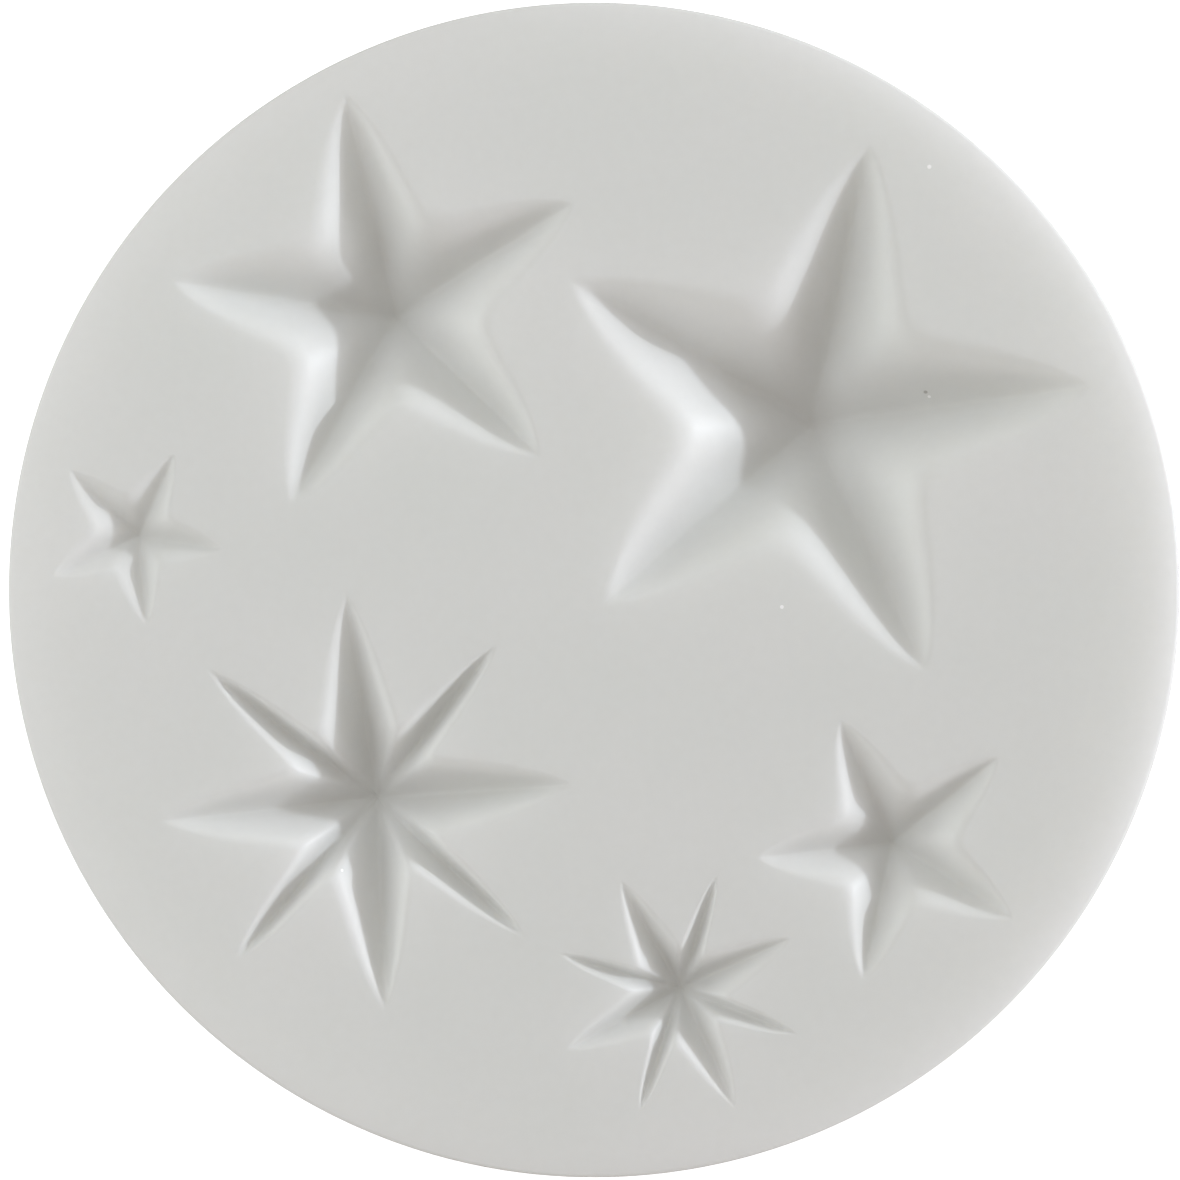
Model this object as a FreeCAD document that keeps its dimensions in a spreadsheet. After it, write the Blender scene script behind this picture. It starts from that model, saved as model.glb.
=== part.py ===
import FreeCAD, Part
import math
import os
import Sketcher
from FreeCAD import Vector

# Round slab of cast silicone rubber with six faceted star cavities sunk into its top face.
# Millimetres, +Z up, origin at the centre of the flat bottom face.
# The large star lies towards +X, the medium star towards +Y.

os.makedirs("parts", exist_ok=True)
doc = FreeCAD.newDocument("star_mould")

# ---------------------------------------------------------------- driving dimensions
SLAB = {
    "slab_radius": 40.0,
    "slab_height": 12.0,
    "upper_edge_radius": 0.8,
    "lower_edge_radius": 0.5,
}

# The cavities are star pyramids standing on their heads.
# An inner corner is at waist x reach from the centre. Stars of eight have four broad arms and four
# slender ones in turn, so their inner corners stand further from the broad arms, in degrees.
PROPORTIONS = {
    "waist_of_five": 0.43,
    "waist_of_eight": 0.355,
    "corner_of_five": 36.0,
    "corner_of_eight": 30.0,
    "lip_over_reach": 0.05,
}

# Centre of each cavity, reach from its centre to a tip, depth of its deepest point below the top
# face, direction of its first arm in degrees.
STARS = {
    "large": {"arms": 5, "east": 15.4, "north": 11.65, "reach": 19.1, "depth": 8.4, "turn": 6.1},
    "medium": {"arms": 5, "east": -13.75, "north": 19.3, "reach": 15.1, "depth": 6.5, "turn": 28.4},
    "small": {"arms": 5, "east": 20.95, "north": -17.3, "reach": 9.4, "depth": 3.9, "turn": 41.0},
    "tiny": {"arms": 5, "east": -31.2, "north": 3.8, "reach": 6.4, "depth": 2.0, "turn": 62.8},
    "burst": {"arms": 8, "east": -15.0, "north": -14.55, "reach": 14.9, "depth": 6.3, "turn": 5.4},
    "sparkle": {"arms": 8, "east": 6.4, "north": -27.4, "reach": 8.95, "depth": 3.7, "turn": 27.0},
}
KIND = {5: "five", 8: "eight"}

sheet = doc.addObject("Spreadsheet::Sheet", "dims")
entries = dict(SLAB)
entries.update(PROPORTIONS)
for name, star in STARS.items():
    for key, value in star.items():
        entries["%s_%s" % (name, key)] = value
for row, (alias, value) in enumerate(entries.items(), start=1):
    sheet.set("A%d" % row, alias)
    sheet.set("B%d" % row, "%g" % value)
    sheet.setAlias("B%d" % row, alias)
doc.recompute()

# ---------------------------------------------------------------- slab
body = doc.addObject("PartDesign::Body", "mould_body")
body.Label = "mould_body"
xy_plane = next(f for f in body.Origin.OriginFeatures if f.Role == "XY_Plane")


def level_sketch(name, height):
    """Sketch parallel to the bottom face; height is an expression on the sheet."""
    sketch = body.newObject("Sketcher::SketchObject", name)
    sketch.AttachmentSupport = [(xy_plane, "")]
    sketch.MapMode = "FlatFace"
    sketch.setExpression(".AttachmentOffset.Base.z", height)
    return sketch


outline = level_sketch("slab_outline", "0 mm")
circle = outline.addGeometry(Part.Circle(Vector(0, 0, 0), Vector(0, 0, 1), SLAB["slab_radius"]))
outline.addConstraint(Sketcher.Constraint("Coincident", circle, 3, -1, 1))
radius = outline.addConstraint(Sketcher.Constraint("Radius", circle, SLAB["slab_radius"]))
outline.setExpression("Constraints[%d]" % radius, "dims.slab_radius * 1 mm")

slab = body.newObject("PartDesign::Pad", "slab")
slab.Profile = outline
slab.setExpression("Length", "dims.slab_height * 1 mm")
doc.recompute()


def fillet(name, base, edges, radius_rule):
    """Fillet the picked edges of the last feature; the radius is an expression on the sheet."""
    feature = body.newObject("PartDesign::Fillet", name)
    feature.Base = (base, edges)
    feature.setExpression("Radius", radius_rule)
    doc.recompute()
    return feature


def edges_at(feature, height):
    """Names of the edges that lie wholly at one height."""
    found = []
    for number, edge in enumerate(feature.Shape.Edges, start=1):
        box = edge.BoundBox
        if abs(box.ZMin - height) < 1e-6 and abs(box.ZMax - height) < 1e-6:
            found.append("Edge%d" % number)
    return found


lower = fillet("lower_edge", slab, edges_at(slab, 0.0), "dims.lower_edge_radius * 1 mm")
upper = fillet("upper_edge", lower, edges_at(lower, SLAB["slab_height"]),
               "dims.upper_edge_radius * 1 mm")


# ---------------------------------------------------------------- star cavities
def place_over(sketch, name):
    """Put a cavity sketch over its own centre and turn it to the first arm."""
    turned = FreeCAD.Rotation(Vector(0, 0, 1), STARS[name]["turn"])
    sketch.AttachmentOffset = FreeCAD.Placement(Vector(0, 0, 0), turned)
    sketch.setExpression(".AttachmentOffset.Base.x", "dims.%s_east * 1 mm" % name)
    sketch.setExpression(".AttachmentOffset.Base.y", "dims.%s_north * 1 mm" % name)
    sketch.setExpression(".AttachmentOffset.Rotation.Angle", "dims.%s_turn * 1 deg" % name)


def spoke_gaps(star):
    """Angle from each spoke to the next, with its rule: a corner, the next tip, and back again."""
    corner = "corner_of_" + KIND[star["arms"]]
    first = math.radians(PROPORTIONS[corner])
    second = 2 * math.pi / star["arms"] - first
    first_rule = "dims.%s * 1 deg" % corner
    second_rule = "360 deg / %d - %s" % (star["arms"], first_rule)
    pattern = [(first, first_rule), (second, second_rule), (second, second_rule), (first, first_rule)]
    return [pattern[k % 4] for k in range(2 * star["arms"])]


def draw_star(sketch, name):
    """Star polygon on construction spokes: long ones to the tips, short ones to the inner corners."""
    star = STARS[name]
    kind = KIND[star["arms"]]
    count = 2 * star["arms"]
    gaps = spoke_gaps(star)
    lengths = [star["reach"], star["reach"] * PROPORTIONS["waist_of_" + kind]]
    ends = []
    direction = 0.0
    for k in range(count):
        ends.append(Vector(math.cos(direction), math.sin(direction), 0) * lengths[k % 2])
        direction += gaps[k][0]
    spokes = [sketch.addGeometry(Part.LineSegment(Vector(0, 0, 0), end), True) for end in ends]
    for k in range(count):
        after = (k + 1) % count
        side = sketch.addGeometry(Part.LineSegment(ends[k], ends[after]), False)
        sketch.addConstraint(Sketcher.Constraint("Coincident", spokes[k], 1, -1, 1))
        sketch.addConstraint(Sketcher.Constraint("Coincident", side, 1, spokes[k], 2))
        sketch.addConstraint(Sketcher.Constraint("Coincident", side, 2, spokes[after], 2))
    sketch.addConstraint(Sketcher.Constraint("PointOnObject", spokes[0], 2, -1))
    for k in range(1, count):
        angle, rule = gaps[k - 1]
        turn = Sketcher.Constraint("Angle", spokes[k - 1], 1, spokes[k], 1, angle)
        number = sketch.addConstraint(turn)
        sketch.setExpression("Constraints[%d]" % number, rule)
    for k in range(2, count):
        sketch.addConstraint(Sketcher.Constraint("Equal", spokes[k % 2], spokes[k]))
    reach = sketch.addConstraint(Sketcher.Constraint("Distance", spokes[0], lengths[0]))
    sketch.setExpression("Constraints[%d]" % reach, "dims.%s_reach * 1 mm" % name)
    waist = sketch.addConstraint(Sketcher.Constraint("Distance", spokes[1], lengths[1]))
    sketch.setExpression("Constraints[%d]" % waist,
                         "dims.%s_reach * dims.waist_of_%s * 1 mm" % (name, kind))


def lip_edges(feature, name):
    """Edges of the feature that run round the mouth of one cavity."""
    star = STARS[name]
    found = []
    for number, edge in enumerate(feature.Shape.Edges, start=1):
        if len(edge.Vertexes) != 2:
            continue
        radii = [math.hypot(v.X - star["east"], v.Y - star["north"]) for v in edge.Vertexes]
        heights = [v.Z for v in edge.Vertexes]
        if max(radii) < star["reach"] + 0.01 and min(heights) > SLAB["slab_height"] - 1e-6:
            found.append("Edge%d" % number)
    return found


last = upper
for name in STARS:
    mouth = level_sketch("%s_mouth" % name, "dims.slab_height * 1 mm")
    place_over(mouth, name)
    draw_star(mouth, name)

    foot = level_sketch("%s_foot" % name, "(dims.slab_height - dims.%s_depth) * 1 mm" % name)
    place_over(foot, name)
    centre = foot.addGeometry(Part.Point(Vector(0, 0, 0)))
    foot.addConstraint(Sketcher.Constraint("Coincident", centre, 1, -1, 1))
    doc.recompute()

    before = last.Shape.Volume
    cavity = body.newObject("PartDesign::SubtractiveLoft", "%s_star" % name)
    cavity.Profile = mouth
    cavity.Sections = [(foot, ["Vertex1"])]
    cavity.Ruled = True
    doc.recompute()
    if cavity.Shape.Volume >= before:
        raise ValueError("cavity %s removes nothing" % name)

    last = fillet("%s_lips" % name, cavity, lip_edges(cavity, name),
                  "dims.%s_reach * dims.lip_over_reach * 1 mm" % name)

# ---------------------------------------------------------------- checks and export
doc.recompute()
for item in doc.Objects:
    if "Invalid" in item.State or "Error" in item.State:
        raise ValueError("%s is %s" % (item.Name, item.State))
if body.Shape.isNull() or not body.Shape.isValid() or len(body.Shape.Solids) != 1:
    raise ValueError("mould_body is not one valid solid")
body.Shape.exportStep("parts/mould_body.step")
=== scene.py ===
import math

import bmesh
import bpy
import numpy as np
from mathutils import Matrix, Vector
from mathutils.geometry import delaunay_2d_cdt


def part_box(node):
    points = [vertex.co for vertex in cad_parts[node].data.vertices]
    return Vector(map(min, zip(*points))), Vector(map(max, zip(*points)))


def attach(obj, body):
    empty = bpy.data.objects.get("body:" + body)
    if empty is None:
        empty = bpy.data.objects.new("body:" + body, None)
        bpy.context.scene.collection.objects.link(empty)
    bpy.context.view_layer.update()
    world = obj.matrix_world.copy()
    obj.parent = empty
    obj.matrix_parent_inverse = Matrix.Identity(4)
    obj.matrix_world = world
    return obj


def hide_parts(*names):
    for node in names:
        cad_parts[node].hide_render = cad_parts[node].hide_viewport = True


# Round silicone mould with six star cavities. Row frame in metres, +Z up, origin under the disc.

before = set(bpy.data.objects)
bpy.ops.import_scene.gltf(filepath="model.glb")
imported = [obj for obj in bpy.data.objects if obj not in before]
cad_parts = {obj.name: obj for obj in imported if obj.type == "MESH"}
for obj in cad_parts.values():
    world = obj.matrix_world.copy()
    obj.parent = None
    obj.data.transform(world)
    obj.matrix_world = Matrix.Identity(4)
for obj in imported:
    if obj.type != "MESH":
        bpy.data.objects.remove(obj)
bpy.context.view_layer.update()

MM = 0.001
low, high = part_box("mould_body")
RADIUS = (high.x - low.x) / 2 / MM
TOP = high.z / MM
BOTTOM = low.z / MM

# ---------------------------------------------------------------- driving dimensions, in millimetres
# Centre of each cavity, reach from its centre to a tip, depth of its deepest point, and direction of its
# first arm in degrees.
STARS = {
    "large": {"arms": 5, "east": 15.4, "north": 11.65, "reach": 19.1, "depth": 8.4, "turn": 6.1},
    "medium": {"arms": 5, "east": -13.75, "north": 19.3, "reach": 15.1, "depth": 6.5, "turn": 28.4},
    "small": {"arms": 5, "east": 20.95, "north": -17.3, "reach": 9.4, "depth": 3.9, "turn": 41.0},
    "tiny": {"arms": 5, "east": -31.2, "north": 3.8, "reach": 6.4, "depth": 2.0, "turn": 62.8},
    "burst": {"arms": 8, "east": -15.0, "north": -14.55, "reach": 14.9, "depth": 6.3, "turn": 5.4},
    "sparkle": {"arms": 8, "east": 6.4, "north": -27.4, "reach": 8.95, "depth": 3.7, "turn": 27.0},
}

# Each kind of star: the angle after which its outline repeats and the direction of an inner corner from
# a broad arm, in degrees. Radius of an inner corner and of the faint end of a tip, over the reach. How
# far the broad and the slender sides bow out. Vertices along one side.
OUTLINE = {
    5: {"repeat": 72, "corner": 36, "waist": 0.43, "tip": 1.015, "bows": (0.07, 0.07), "steps": 14},
    8: {"repeat": 90, "corner": 30, "waist": 0.355, "tip": 1.02, "bows": (0.06, 0.15), "steps": 11},
}

# A wall is described by the share of the way inside, 0 on the outline and 1 at the centre.
# Share over which the lip is rounded, how much of that is lost at a tip, and where the loss begins.
LIP = 0.1296
LIP_LOSS = 0.8
LIP_LOSS_START = 0.45
# Rounding between two arms, as a share, and along the crease of an arm, over the reach.
RIDGE = 0.07
VALLEY = 0.03
# Above 1 the walls start gently at the lip and steepen towards the centre.
FALL = 1.15
# Scales down * (1 - down) ** 2 to a peak of 1.
BOW_PEAK = 6.75

# Gap between a star's outline and the loop of vertices where its lip ends, over the reach.
TIP_GAP = 0.04
WAIST_GAP = 0.13
# Rows of vertices from the centre to that loop: even over the walls, closer over the lip.
WALL_ROWS = np.concatenate([np.linspace(0.03, 0.66, 13), np.linspace(0.69, 1.0, 18)])

UPPER_EDGE = 0.3
LOWER_EDGE = 0.5
AROUND = 360
EDGE_STEPS = 8
SIDE_STEPS = 12
FOOT_STEPS = 6
# Vertices spread over the flat faces: their spacing, the height of a row, and how far they stay from
# the disc's rim and from a star, over the spacing.
TOP_SPACING = 1.4
BOTTOM_SPACING = 2.5
ROW_HEIGHT = 0.866
RIM_CLEARANCE = 0.6
STAR_CLEARANCE = 0.4


# ---------------------------------------------------------------- star cavities
def smooth_step(x, start, end):
    f = np.clip((x - start) / (end - start), 0, 1)
    return f * f * (3 - 2 * f)


def folded_angle(star, x, y):
    """Angle from the nearest broad arm, in radians."""
    repeat = math.radians(OUTLINE[star["arms"]]["repeat"])
    turned = np.arctan2(y, x) - math.radians(star["turn"])
    return np.abs((turned + repeat / 2) % repeat - repeat / 2)


def shares_inside(star, x, y, tip, waist, rounding, bows):
    """Share of the way inside, as seen from the nearest broad and from the nearest slender arm."""
    corner = math.radians(OUTLINE[star["arms"]]["corner"])
    next_tip = math.radians(360 / star["arms"])
    r = np.hypot(x, y)
    angle = folded_angle(star, x, y)
    sides = ((angle, corner, bows[0]), (next_tip - angle, next_tip - corner, bows[1]))
    shares = []
    for from_arm, gap, bow in sides:
        along = waist * math.cos(gap)
        across = waist * math.sin(gap)
        side = math.hypot(tip - along, across)
        centre_to_side = tip * across / side
        px = r * np.cos(from_arm)
        py = np.hypot(r * np.sin(from_arm), rounding)
        down = np.clip((tip - px) / (tip - along), 0, 1)
        bulge = BOW_PEAK * bow * down * (1 - down) ** 2
        shares.append(1 - (px * across + py * (tip - along)) / side / centre_to_side + bulge)
    return shares


def star_depth(star, x, y):
    """Depth of the cavity under points given from the star's centre."""
    shape = OUTLINE[star["arms"]]
    reach = star["reach"]
    broad, slender = shares_inside(star, x, y, reach * shape["tip"], reach * shape["waist"],
                                   VALLEY * reach, shape["bows"])
    near = np.clip(1 - np.abs(broad - slender) / (4 * RIDGE), 0, None)
    inward = np.maximum(broad, slender) + near * near * RIDGE
    lip = LIP * (1 - LIP_LOSS * smooth_step(np.hypot(x, y) / reach, LIP_LOSS_START, 1.0))
    rounded = np.where(inward > lip, inward, np.clip(inward + lip, 0, None) ** 2 / (4 * lip))
    return rounded ** FALL * star["depth"]


def loop_radii(star):
    """Radius of the tips and of the inner corners of the loop where the lip ends."""
    shape = OUTLINE[star["arms"]]
    return star["reach"] * (shape["tip"] + TIP_GAP), star["reach"] * (shape["waist"] + WAIST_GAP)


def star_loop(star):
    """Points round the star where its lip ends, bunched at the tips and the inner corners."""
    shape = OUTLINE[star["arms"]]
    tip, waist = loop_radii(star)
    gap = math.radians(shape["corner"])
    next_gap = math.radians(360 / star["arms"]) - gap
    gaps = (gap, next_gap, next_gap, gap)
    points = []
    a = math.radians(star["turn"])
    for k in range(2 * star["arms"]):
        radii = (tip, waist) if k % 2 == 0 else (waist, tip)
        after = a + gaps[k % 4]
        start = np.array([math.cos(a), math.sin(a)]) * radii[0]
        end = np.array([math.cos(after), math.sin(after)]) * radii[1]
        a = after
        for j in range(shape["steps"]):
            f = 0.5 - 0.5 * math.cos(math.pi * j / shape["steps"])
            points.append(start + (end - start) * f)
    return np.array(points)


def inside_loop(star, x, y, margin):
    """True where a point lies inside the star's loop, widened by about a margin."""
    tip, waist = loop_radii(star)
    shares = shares_inside(star, x - star["east"], y - star["north"], tip, waist, 0, (0, 0))
    rough_centre_to_side = 0.6 * waist
    return max(shares) * rough_centre_to_side > -margin


# ---------------------------------------------------------------- mesh of the mould
vertices = []
faces = []


def ring(radius, z):
    """A ring of vertices round the disc; returns their numbers."""
    first = len(vertices)
    for k in range(AROUND):
        a = 2 * math.pi * k / AROUND
        vertices.append((radius * math.cos(a), radius * math.sin(a), z))
    return list(range(first, first + AROUND))


def bridge(inner, outer):
    """Faces between two rows of vertices."""
    for k in range(len(inner)):
        after = (k + 1) % len(inner)
        faces.append((inner[k], outer[k], outer[after], inner[after]))


def cavity(star):
    """Walls and lip of one star; returns the points and vertex numbers of its loop."""
    loop = star_loop(star)
    centre = np.array([star["east"], star["north"]])
    hub = len(vertices)
    vertices.append((centre[0], centre[1], TOP - float(star_depth(star, np.zeros(1), np.zeros(1))[0])))
    inner = None
    for share in WALL_ROWS:
        depth = star_depth(star, loop[:, 0] * share, loop[:, 1] * share)
        if share == WALL_ROWS[-1]:
            # the last row is the loop itself, on the flat top
            depth = depth * 0
        first = len(vertices)
        for (x, y), d in zip(loop * share, depth):
            vertices.append((x + centre[0], y + centre[1], TOP - float(d)))
        outer = list(range(first, first + len(loop)))
        if inner is None:
            for k in range(len(loop)):
                faces.append((hub, outer[k], outer[(k + 1) % len(loop)]))
        else:
            bridge(inner, outer)
        inner = outer
    return loop + centre, inner


def side_profile():
    """Radius and height of each ring, from the rim of the flat top to the rim of the flat bottom."""
    side_top = TOP - UPPER_EDGE
    side_foot = BOTTOM + LOWER_EDGE
    profile = []
    for k in range(EDGE_STEPS + 1):
        a = math.pi / 2 * k / EDGE_STEPS
        profile.append((RADIUS - UPPER_EDGE * (1 - math.sin(a)), TOP - UPPER_EDGE * (1 - math.cos(a))))
    for k in range(1, SIDE_STEPS + 1):
        profile.append((RADIUS, side_top + (side_foot - side_top) * k / SIDE_STEPS))
    for k in range(1, FOOT_STEPS + 1):
        a = math.pi / 2 * k / FOOT_STEPS
        profile.append((RADIUS - LOWER_EDGE * (1 - math.cos(a)), side_foot - LOWER_EDGE * math.sin(a)))
    return profile


def spread(radius, spacing, holes):
    """Points spread evenly over a disc, clear of its rim and of the holes."""
    points = []
    rows = int(radius / spacing) + 1
    limit = radius - RIM_CLEARANCE * spacing
    margin = STAR_CLEARANCE * spacing
    for row in range(-rows, rows + 1):
        for column in range(-rows, rows + 1):
            x = (column + 0.5 * (row % 2)) * spacing
            y = row * ROW_HEIGHT * spacing
            blocked = any(inside_loop(star, x, y, margin) for star in holes)
            if math.hypot(x, y) < limit and not blocked:
                points.append(Vector((x, y)))
    return points


def fill(loops, radius, spacing, holes, z):
    """Fill a flat face. Each loop is its points and vertex numbers, the disc's rim first."""
    points = []
    numbers = []
    outlines = []
    for loop, loop_numbers in loops:
        outlines.append(list(range(len(points), len(points) + len(loop))))
        points += [Vector((p[0], p[1])) for p in loop]
        numbers += loop_numbers
    points += spread(radius, spacing, holes)
    filled = delaunay_2d_cdt(points, [], outlines, 0, 1e-7)
    placed, triangles, outlines_of = filled[0], filled[2], filled[5]
    for p in placed[len(numbers):]:
        numbers.append(len(vertices))
        vertices.append((p.x, p.y, z))
    for triangle, within in zip(triangles, outlines_of):
        if list(within) == [0]:
            faces.append(tuple(numbers[v] for v in triangle))


star_loops = [cavity(star) for star in STARS.values()]
rings = [ring(radius, z) for radius, z in side_profile()]
for upper, lower in zip(rings, rings[1:]):
    bridge(upper, lower)
rim = ([vertices[v] for v in rings[0]], rings[0])
heel = ([vertices[v] for v in rings[-1]], rings[-1])
fill([rim] + star_loops, RADIUS - UPPER_EDGE, TOP_SPACING, list(STARS.values()), TOP)
fill([heel], RADIUS - LOWER_EDGE, BOTTOM_SPACING, [], BOTTOM)

mesh = bpy.data.meshes.new("mould_skin")
mesh.from_pydata([tuple(c * MM for c in v) for v in vertices], [], faces)
work = bmesh.new()
work.from_mesh(mesh)
bmesh.ops.recalc_face_normals(work, faces=work.faces)
work.to_mesh(mesh)
work.free()
mesh.shade_smooth()
skin = bpy.data.objects.new("mould_skin", mesh)
bpy.context.scene.collection.objects.link(skin)
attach(skin, "root")
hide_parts("mould_body")

# ---------------------------------------------------------------- silicone
silicone = bpy.data.materials.new("silicone")
silicone.use_nodes = True
tree = silicone.node_tree
shader = tree.nodes["Principled BSDF"]
shader.inputs["Specular IOR Level"].default_value = 0.35
shader.inputs["Subsurface Weight"].default_value = 0.5
shader.inputs["Subsurface Radius"].default_value = (1.0, 0.96, 0.9)
shader.inputs["Subsurface Scale"].default_value = 0.010
place = tree.nodes.new("ShaderNodeTexCoord")


def noise(scale, detail):
    """Noise over the object's own coordinates, scale in cells per metre."""
    node = tree.nodes.new("ShaderNodeTexNoise")
    node.inputs["Scale"].default_value = scale
    node.inputs["Detail"].default_value = detail
    tree.links.new(place.outputs["Object"], node.inputs["Vector"])
    return node.outputs["Fac"]


def math_node(operation, first, second):
    """A Math node; second is a number or another node's output."""
    node = tree.nodes.new("ShaderNodeMath")
    node.operation = operation
    tree.links.new(first, node.inputs[0])
    if isinstance(second, float):
        node.inputs[1].default_value = second
    else:
        tree.links.new(second, node.inputs[1])
    return node.outputs["Value"]


def colour_mix(amount, first, second):
    """Mix two colours by a node's output; first may be another node's output."""
    node = tree.nodes.new("ShaderNodeMix")
    node.data_type = "RGBA"
    tree.links.new(amount, node.inputs["Factor"])
    if isinstance(first, tuple):
        node.inputs["A"].default_value = first
    else:
        tree.links.new(first, node.inputs["A"])
    node.inputs["B"].default_value = second
    return node.outputs["Result"]


# cloudy mottling from uneven curing, with fine grain in it
clouds = colour_mix(noise(75.0, 3.0), (0.714, 0.730, 0.711, 1), (0.761, 0.760, 0.753, 1))
grain = math_node("MULTIPLY", noise(1400.0, 2.0), 0.16)
clouds = colour_mix(grain, clouds, (0.60, 0.60, 0.585, 1))

# sparse dust that clings to the silicone: in cells 3 mm wide, a few hold a dark or a white speck
dust = tree.nodes.new("ShaderNodeTexVoronoi")
dust.inputs["Scale"].default_value = 300.0
tree.links.new(place.outputs["Object"], dust.inputs["Vector"])
pick = tree.nodes.new("ShaderNodeSeparateColor")
tree.links.new(dust.outputs["Color"], pick.inputs["Color"])
dot = math_node("LESS_THAN", dust.outputs["Distance"], 0.042)
dark_dot = math_node("MULTIPLY", dot, math_node("GREATER_THAN", pick.outputs["Red"], 0.94))
white_dot = math_node("MULTIPLY", dot, math_node("LESS_THAN", pick.outputs["Red"], 0.07))
specked = colour_mix(math_node("MULTIPLY", dark_dot, 0.6), clouds, (0.30, 0.28, 0.26, 1))
specked = colour_mix(white_dot, specked, (0.95, 0.95, 0.95, 1))
tree.links.new(specked, shader.inputs["Base Color"])

# satin skin: gloss varies softly, and slow waves carry a shallow cast texture
gloss = tree.nodes.new("ShaderNodeMapRange")
gloss.inputs["To Min"].default_value = 0.42
gloss.inputs["To Max"].default_value = 0.56
tree.links.new(noise(160.0, 4.0), gloss.inputs["Value"])
tree.links.new(gloss.outputs["Result"], shader.inputs["Roughness"])
texture = math_node("MULTIPLY", noise(1100.0, 3.0), 0.35)
waves = math_node("ADD", noise(140.0, 1.0), texture)
bump = tree.nodes.new("ShaderNodeBump")
bump.inputs["Strength"].default_value = 0.5
bump.inputs["Distance"].default_value = 0.00005
tree.links.new(waves, bump.inputs["Height"])
tree.links.new(bump.outputs["Normal"], shader.inputs["Normal"])
mesh.materials.append(silicone)

# ---------------------------------------------------------------- floor
# Its glow makes it an even white; rays from the mould pass it by, so the glow doesn't light the mould.
FLOOR_HALF = 1.5
FLOOR_DROP = 0.0002
corners = [(-FLOOR_HALF, -FLOOR_HALF, 0), (FLOOR_HALF, -FLOOR_HALF, 0),
           (FLOOR_HALF, FLOOR_HALF, 0), (-FLOOR_HALF, FLOOR_HALF, 0)]
floor_mesh = bpy.data.meshes.new("floor")
floor_mesh.from_pydata(corners, [], [(0, 1, 2, 3)])
floor = bpy.data.objects.new("floor", floor_mesh)
floor.location.z = -FLOOR_DROP
bpy.context.scene.collection.objects.link(floor)
floor.visible_diffuse = False
floor.visible_glossy = False
floor.visible_shadow = False
paper = bpy.data.materials.new("floor")
paper.use_nodes = True
paper_shader = paper.node_tree.nodes["Principled BSDF"]
paper_shader.inputs["Base Color"].default_value = (0.9, 0.9, 0.9, 1)
paper_shader.inputs["Roughness"].default_value = 0.9
paper_shader.inputs["Emission Color"].default_value = (1, 1, 1, 1)
paper_shader.inputs["Emission Strength"].default_value = 0.8
floor_mesh.materials.append(paper)

# ---------------------------------------------------------------- light
world = bpy.data.worlds.new("studio")
bpy.context.scene.world = world
world.use_nodes = True
world.node_tree.nodes["Background"].inputs["Color"].default_value = (1.0, 0.9, 0.86, 1)
world.node_tree.nodes["Background"].inputs["Strength"].default_value = 0.32


def aim(obj, azimuth, elevation, distance):
    """Place obj at an azimuth (0 along +X, turning to +Y) and a height angle, facing the disc."""
    a, e = math.radians(azimuth), math.radians(elevation)
    away = Vector((math.cos(a) * math.cos(e), math.sin(a) * math.cos(e), math.sin(e)))
    obj.location = away * distance
    obj.rotation_euler = (-away).to_track_quat("-Z", "Y").to_euler()
    bpy.context.scene.collection.objects.link(obj)


def panel(name, azimuth, elevation, wide, tall, watts, tint):
    """A soft rectangular lamp half a metre from the disc, its sides in metres."""
    lamp = bpy.data.lights.new(name, "AREA")
    lamp.shape = "RECTANGLE"
    lamp.size = wide
    lamp.size_y = tall
    lamp.energy = watts
    lamp.color = tint
    aim(bpy.data.objects.new(name, lamp), azimuth, elevation, 0.5)


key = bpy.data.lights.new("key", "SUN")
key.energy = 1.55
key.angle = math.radians(1.5)
key.color = (0.87, 0.93, 1.0)
aim(bpy.data.objects.new("key", key), 15, 10.7, 1)
panel("low_right", 8, 11, 0.5, 0.14, 1.15, (0.95, 0.95, 1.0))
panel("low_left", 180, 11, 0.5, 0.14, 0.70, (0.94, 1.0, 0.97))
panel("low_front", 290, 11, 0.5, 0.14, 0.45, (1.0, 1.0, 0.97))
panel("low_back", 90, 11, 0.5, 0.14, 0.17, (1.0, 1.0, 0.8))
panel("mid_left", 180, 35, 0.4, 0.2, 0.55, (0.93, 0.98, 1.0))
panel("mid_back", 90, 35, 0.4, 0.2, 0.35, (0.85, 0.95, 1.0))
panel("overhead", 120, 80, 0.3, 0.3, 0.37, (0.96, 1.0, 0.95))

# ---------------------------------------------------------------- camera
# The camera stands a little east of the disc's centre and leans back towards it. The disc just fits.
LEAN = math.radians(4.7)
AIM_EAST = 0.0004
FRAME_OVER_DISC = 1.00443
camera = bpy.data.cameras.new("camera")
camera.lens = 85
camera.clip_start = 0.01
camera_object = bpy.data.objects.new("camera", camera)
bpy.context.scene.collection.objects.link(camera_object)
half_view = FRAME_OVER_DISC * RADIUS * MM
distance = half_view / (camera.sensor_width / 2 / camera.lens)
eye_east = AIM_EAST + distance * math.sin(LEAN)
eye_up = (TOP - UPPER_EDGE) * MM + distance * math.cos(LEAN)
camera_object.location = (eye_east, 0, eye_up)
camera_object.rotation_euler = (0, LEAN, 0)
bpy.context.scene.camera = camera_object
bpy.context.scene.view_settings.view_transform = "Standard"
